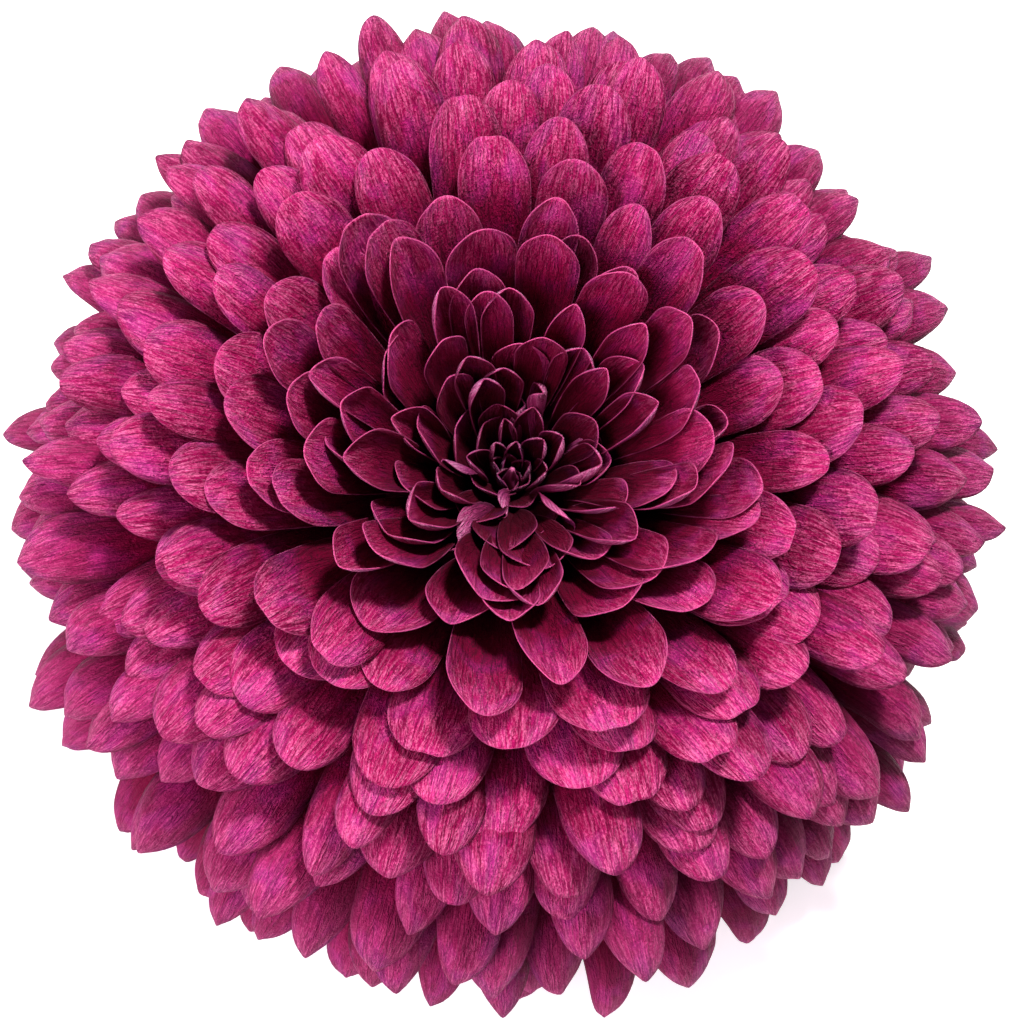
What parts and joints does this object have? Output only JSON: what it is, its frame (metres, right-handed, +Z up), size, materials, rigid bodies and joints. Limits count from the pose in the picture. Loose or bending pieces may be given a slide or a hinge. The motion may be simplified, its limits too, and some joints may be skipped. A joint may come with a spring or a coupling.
{
  "type": "pompon chrysanthemum bloom",
  "caption": "Cut double chrysanthemum bloom, face up: a dense dome of magenta spoon-shaped ray florets round a cupped heart, on a snipped green stem stub.",
  "frame": {"origin": "on the surface under the bloom, below the middle of its outline", "axes": "+Z up along the bloom's axis, out of its face; the bloom's outline lies in X and Y"},
  "size_m": [0.07, 0.0714, 0.0398],
  "materials": {
    "florets": "soft satin petal, wine red at the foot and magenta pink at the tip",
    "stem": "matte green plant skin, pale where it is cut"
  },
  "bodies": {
    "root": {"florets": "florets", "stem": "stem"}
  },
  "joints": []
}
